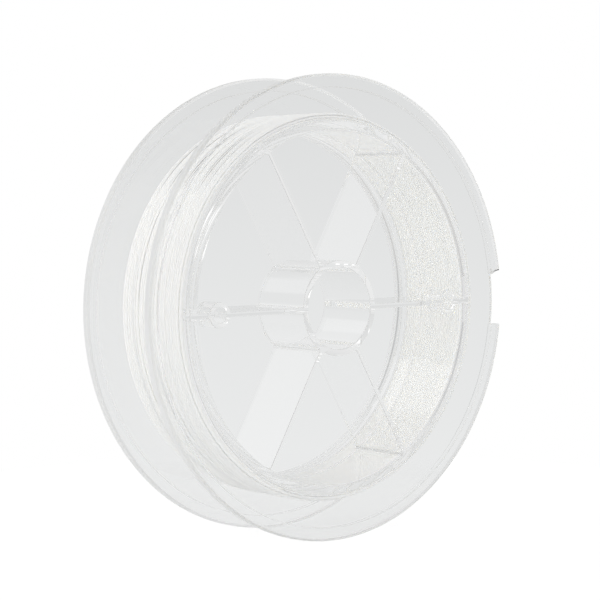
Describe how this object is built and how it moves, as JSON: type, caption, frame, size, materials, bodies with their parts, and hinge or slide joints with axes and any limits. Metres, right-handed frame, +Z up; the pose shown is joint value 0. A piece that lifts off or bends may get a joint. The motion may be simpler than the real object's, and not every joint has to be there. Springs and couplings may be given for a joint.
{
  "type": "fishing line spool",
  "caption": "Clear moulded line spool with two rimmed flanges, a line notch, a ribbed hub with an arbor bore, and nylon line wound on its drum.",
  "frame": {"origin": "centre of the arbor bore, half way between the two rim faces", "axes": "+Y along the bore from the open ribbed front to the back, +Z up, +X through the line notch; the spool stands on its rims"},
  "size_m": [0.074, 0.0176, 0.074],
  "materials": {
    "clear_polystyrene": "polished clear moulding",
    "nylon_line": "smooth drawn nylon"
  },
  "bodies": {
    "root": {"front_rim": "clear_polystyrene", "front_flange": "clear_polystyrene", "front_drum_wall": "clear_polystyrene", "hub_tube": "clear_polystyrene", "rib_1": "clear_polystyrene", "rib_2": "clear_polystyrene", "rib_3": "clear_polystyrene", "rib_4": "clear_polystyrene", "rib_5": "clear_polystyrene", "rib_6": "clear_polystyrene", "right_drive_socket": "clear_polystyrene", "left_drive_socket": "clear_polystyrene", "back_rim": "clear_polystyrene", "back_flange": "clear_polystyrene", "back_collar": "clear_polystyrene", "line_under_layers": "nylon_line", "line_outer_layer": "nylon_line"}
  },
  "joints": []
}
